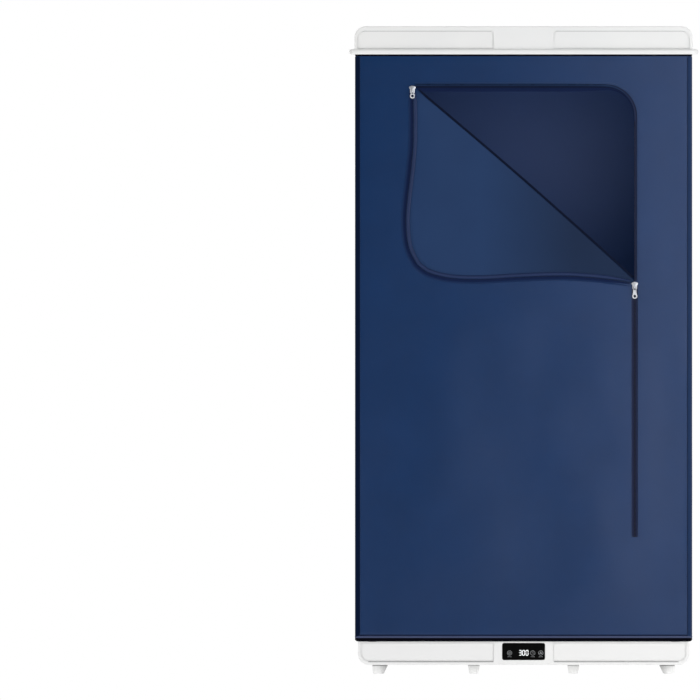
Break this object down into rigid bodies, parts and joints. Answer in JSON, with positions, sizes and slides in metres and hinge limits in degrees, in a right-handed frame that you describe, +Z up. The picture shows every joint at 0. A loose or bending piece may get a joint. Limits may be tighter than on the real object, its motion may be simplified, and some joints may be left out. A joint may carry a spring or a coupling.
{
  "type": "portable clothes dryer",
  "caption": "Folding portable clothes dryer: white base with heater and fan, knee-jointed posts, domed lid with hanging rail, and a navy cloth cover with a zipped door.",
  "frame": {"origin": "centre of the footprint, on the floor plane that the feet stand on", "axes": "+Z up, the door and display face -Y, +X to the right as seen from the front"},
  "size_m": [0.751, 0.46, 1.392],
  "materials": {
    "base_shell": "satin moulded white",
    "deck_panel": "satin moulded white",
    "outlet_grille": "satin moulded white",
    "fan_motor": "zinc-plated",
    "fan_shroud": "matt black",
    "heater_frame": "matt black",
    "heater_core": "plain aluminium fins",
    "thermal_cutout": "zinc-plated",
    "display_lens": "glossy black",
    "display_board": "green circuit board",
    "power_board": "green circuit board",
    "mains_inlet": "glossy black",
    "fabric_cover": "woven navy cloth",
    "door_flap": "woven navy cloth",
    "door_zip": "dark zip tape",
    "foot_front_left_corner": "satin moulded white",
    "foot_front_left_middle": "satin moulded white",
    "foot_front_right_corner": "satin moulded white",
    "foot_front_right_middle": "satin moulded white",
    "foot_back_left_corner": "satin moulded white",
    "foot_back_left_middle": "satin moulded white",
    "foot_back_right_corner": "satin moulded white",
    "foot_back_right_middle": "satin moulded white",
    "base_bracket_front_left": "zinc-plated",
    "base_bracket_front_right": "zinc-plated",
    "base_bracket_back_left": "zinc-plated",
    "base_bracket_back_right": "zinc-plated",
    "fan_wheel": "matt black",
    "motor_shaft": "satin steel",
    "lower_post_front_left": "satin steel",
    "knee_fork_front_left": "dark grey nylon",
    "lower_post_front_right": "satin steel",
    "knee_fork_front_right": "dark grey nylon",
    "lower_post_back_left": "satin steel",
    "knee_fork_back_left": "dark grey nylon",
    "lower_post_back_right": "satin steel",
    "knee_fork_back_right": "dark grey nylon",
    "upper_post_front_left": "satin steel",
    "knee_tongue_front_left": "dark grey nylon",
    "upper_post_front_right": "satin steel",
    "knee_tongue_front_right": "dark grey nylon",
    "upper_post_back_left": "satin steel",
    "knee_tongue_back_left": "dark grey nylon",
    "upper_post_back_right": "satin steel",
    "knee_tongue_back_right": "dark grey nylon",
    "lid_shell": "satin moulded white",
    "cover_clamp_ring": "satin moulded white",
    "hanging_rail": "satin steel",
    "rail_bracket_left": "zinc-plated",
    "rail_bracket_right": "zinc-plated",
    "lid_bracket_front_left": "zinc-plated",
    "lid_bracket_front_right": "zinc-plated",
    "lid_bracket_back_left": "zinc-plated",
    "lid_bracket_back_right": "zinc-plated",
    "zip_slider_side": "bright silvery",
    "zip_slider_top": "bright silvery",
    "zip_pull_side": "bright silvery",
    "zip_pull_top": "bright silvery"
  },
  "bodies": {
    "base": {"base_shell": "base_shell", "deck_panel": "deck_panel", "outlet_grille": "outlet_grille", "fan_motor": "fan_motor", "fan_shroud": "fan_shroud", "heater_frame": "heater_frame", "heater_core": "heater_core", "thermal_cutout": "thermal_cutout", "display_lens": "display_lens", "display_board": "display_board", "power_board": "power_board", "mains_inlet": "mains_inlet", "fabric_cover": "fabric_cover", "door_flap": "door_flap", "door_zip": "door_zip", "foot_front_left_corner": "foot_front_left_corner", "foot_front_left_middle": "foot_front_left_middle", "foot_front_right_corner": "foot_front_right_corner", "foot_front_right_middle": "foot_front_right_middle", "foot_back_left_corner": "foot_back_left_corner", "foot_back_left_middle": "foot_back_left_middle", "foot_back_right_corner": "foot_back_right_corner", "foot_back_right_middle": "foot_back_right_middle", "base_bracket_front_left": "base_bracket_front_left", "base_bracket_front_right": "base_bracket_front_right", "base_bracket_back_left": "base_bracket_back_left", "base_bracket_back_right": "base_bracket_back_right"},
    "fan": {"fan_wheel": "fan_wheel", "motor_shaft": "motor_shaft"},
    "lower_front_left": {"lower_post_front_left": "lower_post_front_left", "knee_fork_front_left": "knee_fork_front_left"},
    "lower_front_right": {"lower_post_front_right": "lower_post_front_right", "knee_fork_front_right": "knee_fork_front_right"},
    "lower_back_left": {"lower_post_back_left": "lower_post_back_left", "knee_fork_back_left": "knee_fork_back_left"},
    "lower_back_right": {"lower_post_back_right": "lower_post_back_right", "knee_fork_back_right": "knee_fork_back_right"},
    "upper_front_left": {"upper_post_front_left": "upper_post_front_left", "knee_tongue_front_left": "knee_tongue_front_left"},
    "upper_front_right": {"upper_post_front_right": "upper_post_front_right", "knee_tongue_front_right": "knee_tongue_front_right"},
    "upper_back_left": {"upper_post_back_left": "upper_post_back_left", "knee_tongue_back_left": "knee_tongue_back_left"},
    "upper_back_right": {"upper_post_back_right": "upper_post_back_right", "knee_tongue_back_right": "knee_tongue_back_right"},
    "lid": {"lid_shell": "lid_shell", "cover_clamp_ring": "cover_clamp_ring", "hanging_rail": "hanging_rail", "rail_bracket_left": "rail_bracket_left", "rail_bracket_right": "rail_bracket_right", "lid_bracket_front_left": "lid_bracket_front_left", "lid_bracket_front_right": "lid_bracket_front_right", "lid_bracket_back_left": "lid_bracket_back_left", "lid_bracket_back_right": "lid_bracket_back_right"},
    "zip_slider_side_body": {"zip_slider_side": "zip_slider_side"},
    "zip_slider_top_body": {"zip_slider_top": "zip_slider_top"},
    "zip_pull_side_body": {"zip_pull_side": "zip_pull_side"},
    "zip_pull_top_body": {"zip_pull_top": "zip_pull_top"}
  },
  "joints": [
    {"name": "frame_fold", "type": "hinge", "parent": "base", "child": "lower_front_left", "pos_m": [-0.326, -0.185, 0.078], "axis": [0, 1, 0], "range_deg": [0, 90], "deforming": ["fabric_cover", "door_flap", "door_zip", "zip_slider_side", "zip_slider_top", "zip_pull_side", "zip_pull_top"]},
    {"name": "knee_front_left", "type": "hinge", "parent": "lower_front_left", "child": "upper_front_left", "pos_m": [-0.342, -0.185, 0.72485], "axis": [0, 1, 0], "range_deg": [-180, 0]},
    {"name": "base_pivot_front_right", "type": "hinge", "parent": "base", "child": "lower_front_right", "pos_m": [0.326, -0.155, 0.078], "axis": [0, -1, 0], "range_deg": [0, 90]},
    {"name": "knee_front_right", "type": "hinge", "parent": "lower_front_right", "child": "upper_front_right", "pos_m": [0.342, -0.155, 0.72485], "axis": [0, -1, 0], "range_deg": [-180, 0]},
    {"name": "base_pivot_back_left", "type": "hinge", "parent": "base", "child": "lower_back_left", "pos_m": [-0.326, 0.185, 0.078], "axis": [0, 1, 0], "range_deg": [0, 90]},
    {"name": "knee_back_left", "type": "hinge", "parent": "lower_back_left", "child": "upper_back_left", "pos_m": [-0.342, 0.185, 0.72485], "axis": [0, 1, 0], "range_deg": [-180, 0]},
    {"name": "base_pivot_back_right", "type": "hinge", "parent": "base", "child": "lower_back_right", "pos_m": [0.326, 0.155, 0.078], "axis": [0, -1, 0], "range_deg": [0, 90]},
    {"name": "knee_back_right", "type": "hinge", "parent": "lower_back_right", "child": "upper_back_right", "pos_m": [0.342, 0.155, 0.72485], "axis": [0, -1, 0], "range_deg": [-180, 0]},
    {"name": "lid_pivot", "type": "hinge", "parent": "upper_front_left", "child": "lid", "pos_m": [-0.326, -0.185, 1.3717], "axis": [0, 1, 0], "range_deg": [0, 90]},
    {"name": "fan_spin", "type": "hinge", "parent": "base", "child": "fan", "pos_m": [0, 0, 0.035], "axis": [0, 0, 1], "continuous": true},
    {"name": "zip_side_slide", "type": "slide", "parent": "base", "child": "zip_slider_side_body", "axis": [0, 0, 1], "range_m": [-0.53, 0]},
    {"name": "zip_top_slide", "type": "slide", "parent": "base", "child": "zip_slider_top_body", "axis": [1, 0, 0], "range_m": [0, 0.38]},
    {"name": "zip_side_pull", "type": "hinge", "parent": "zip_slider_side_body", "child": "zip_pull_side_body", "pos_m": [0.239, -0.22465, 0.8316], "axis": [1, 0, 0], "range_deg": [-150, 0]},
    {"name": "zip_top_pull", "type": "hinge", "parent": "zip_slider_top_body", "child": "zip_pull_top_body", "pos_m": [-0.239, -0.22465, 1.2532], "axis": [1, 0, 0], "range_deg": [-150, 0]}
  ],
  "couplings": [
    {"joint": "knee_front_left", "follows": "frame_fold", "ratio": -2},
    {"joint": "base_pivot_front_right", "follows": "frame_fold", "ratio": 1},
    {"joint": "knee_front_right", "follows": "frame_fold", "ratio": -2},
    {"joint": "base_pivot_back_left", "follows": "frame_fold", "ratio": 1},
    {"joint": "knee_back_left", "follows": "frame_fold", "ratio": -2},
    {"joint": "base_pivot_back_right", "follows": "frame_fold", "ratio": 1},
    {"joint": "knee_back_right", "follows": "frame_fold", "ratio": -2},
    {"joint": "lid_pivot", "follows": "frame_fold", "ratio": 1}
  ]
}
